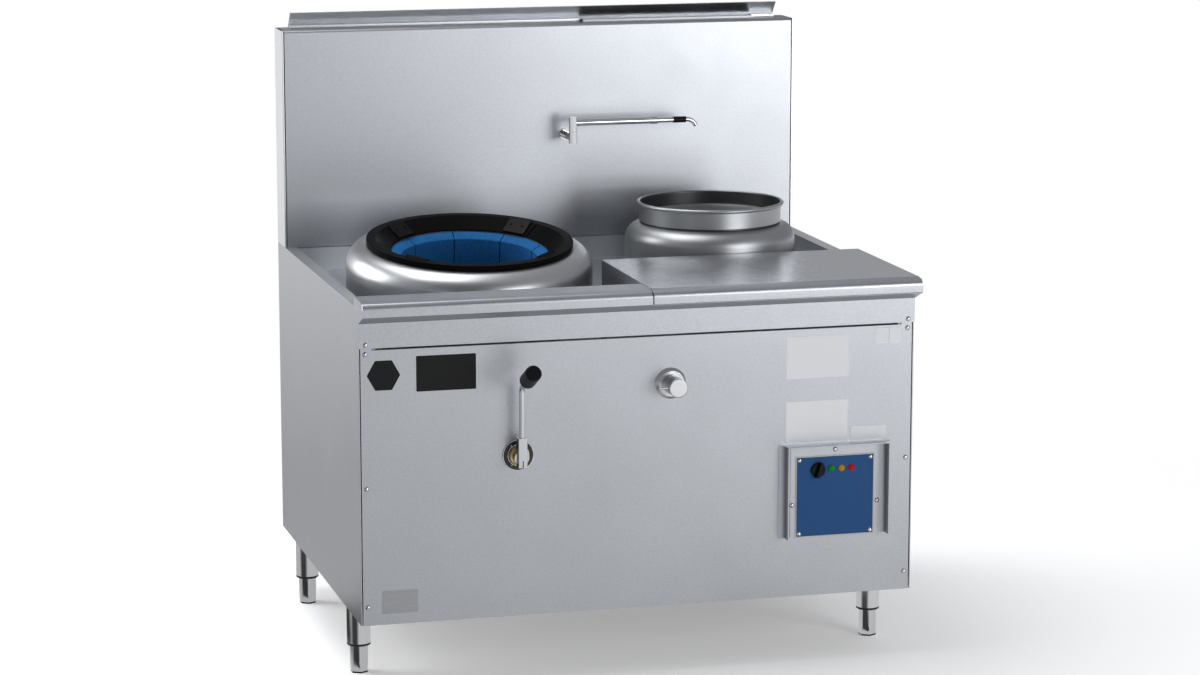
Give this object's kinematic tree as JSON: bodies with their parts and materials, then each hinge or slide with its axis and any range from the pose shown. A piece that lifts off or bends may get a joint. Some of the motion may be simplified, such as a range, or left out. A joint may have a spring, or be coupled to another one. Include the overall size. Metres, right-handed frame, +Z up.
{
  "type": "wok range",
  "caption": "Free-standing gas wok range with a leaning wok burner, a steamer burner, sunken deck, splashback with flue slot, swivel tap, hand lever and adjustable feet.",
  "frame": {"origin": "bottom centre of the whole range's box, on the floor", "axes": "+Z up, +Y to the back, +X to the right of a cook who stands in front"},
  "size_m": [1.2, 1.0637, 1.337],
  "materials": {
    "black_plastic": "satin black plastic",
    "blue_face": "smooth blue face",
    "brass": "satin brass",
    "cast_iron": "dark cast iron",
    "chrome": "polished chrome",
    "dial_black": "black dial with plain ticks",
    "enclosure": "grey enclosure",
    "fireclay": "matt fireclay",
    "foot": "bright foot with a dark base",
    "frame_steel": "grey primed mild steel",
    "lamp": "domed coloured lenses: green, amber and red",
    "ring_steel": "machined cast ring, pale grey",
    "rubber_black": "black rubber",
    "screw": "bright screws",
    "stainless": "fine brushed stainless sheet",
    "stainless_bright": "smooth bright stainless"
  },
  "bodies": {
    "cabinet": {"control_box": "enclosure", "control_face": "blue_face", "control_guard": "stainless", "control_plate": "stainless", "control_screws": "screw", "deck_well": "stainless", "fascia": "stainless", "flue_deflector": "stainless", "flue_duct": "stainless", "flue_plenum": "frame_steel", "frame_weldment": "frame_steel", "front_panel": "stainless", "front_rail": "stainless", "gas_dial": "dial_black", "gas_pipework": "frame_steel", "gas_valve": "brass", "leg_rings": "rubber_black", "leg_tubes": "stainless_bright", "panel_screws": "screw", "pilot_burners": "brass", "pilot_lamps": "lamp", "rear_panel": "stainless", "refractory_bricks": "fireclay", "selector_switch": "black_plastic", "side_panel_left": "stainless", "side_panel_right": "stainless", "splash_front": "stainless", "splash_side_left": "stainless", "splash_side_right": "stainless", "steamer_burner": "cast_iron", "steamer_chamber": "frame_steel", "steamer_dome": "stainless_bright", "tap_inlet": "chrome", "valve_flange": "chrome", "water_pipes": "brass", "water_valve": "brass", "wok_burner": "cast_iron", "wok_chamber": "frame_steel", "wok_dome": "stainless_bright"},
    "wok_ring": {"wok_ring": "ring_steel", "ring_lugs": "ring_steel", "lug_bolts": "screw"},
    "steamer_collar": {"steamer_collar": "stainless_bright"},
    "steam_pan": {"steam_pan": "stainless_bright"},
    "shelf_cover": {"shelf_cover": "stainless"},
    "gas_lever": {"valve_spindle": "chrome", "lever_block": "chrome", "lever_rod": "chrome", "lever_grip": "black_plastic"},
    "water_knob": {"valve_knob": "chrome", "valve_pin": "chrome"},
    "selector": {"selector_knob": "black_plastic"},
    "tap_spout": {"tap_riser": "chrome", "tap_arm": "chrome", "tap_sleeve": "rubber_black", "tap_nozzle": "chrome"},
    "foot_front_left": {"foot_front_left": "foot"},
    "foot_front_right": {"foot_front_right": "foot"},
    "foot_rear_left": {"foot_rear_left": "foot"},
    "foot_rear_right": {"foot_rear_right": "foot"}
  },
  "joints": [
    {"name": "gas_lever_turn", "type": "hinge", "parent": "cabinet", "child": "gas_lever", "pos_m": [-0.2658, -0.38769, 0.491], "axis": [0, 1, 0], "range_deg": [0, 90]},
    {"name": "water_knob_turn", "type": "hinge", "parent": "cabinet", "child": "water_knob", "pos_m": [0.0628, -0.38769, 0.6254], "axis": [0, 1, 0], "range_deg": [0, 90]},
    {"name": "selector_turn", "type": "hinge", "parent": "cabinet", "child": "selector", "pos_m": [0.3877, -0.38769, 0.4215], "axis": [0, 1, 0], "range_deg": [0, 90]},
    {"name": "tap_swivel", "type": "hinge", "parent": "cabinet", "child": "tap_spout", "pos_m": [0.053, 0.37231, 1.082], "axis": [0, 0, 1], "range_deg": [-190, 10]},
    {"name": "ring_lift", "type": "slide", "parent": "cabinet", "child": "wok_ring", "axis": [0, -0.108, 0.9942], "range_m": [0, 0.12]},
    {"name": "collar_lift", "type": "slide", "parent": "cabinet", "child": "steamer_collar", "axis": [0, 0, 1], "range_m": [0, 0.12]},
    {"name": "pan_lift", "type": "slide", "parent": "steamer_collar", "child": "steam_pan", "axis": [0, 0, 1], "range_m": [0, 0.08]},
    {"name": "shelf_lift", "type": "slide", "parent": "cabinet", "child": "shelf_cover", "axis": [0, 0, 1], "range_m": [0, 0.12]},
    {"name": "foot_front_left_adjust", "type": "slide", "parent": "cabinet", "child": "foot_front_left", "axis": [0, 0, 1], "range_m": [-0.025, 0.025]},
    {"name": "foot_front_right_adjust", "type": "slide", "parent": "cabinet", "child": "foot_front_right", "axis": [0, 0, 1], "range_m": [-0.025, 0.025]},
    {"name": "foot_rear_left_adjust", "type": "slide", "parent": "cabinet", "child": "foot_rear_left", "axis": [0, 0, 1], "range_m": [-0.025, 0.025]},
    {"name": "foot_rear_right_adjust", "type": "slide", "parent": "cabinet", "child": "foot_rear_right", "axis": [0, 0, 1], "range_m": [-0.025, 0.025]}
  ]
}
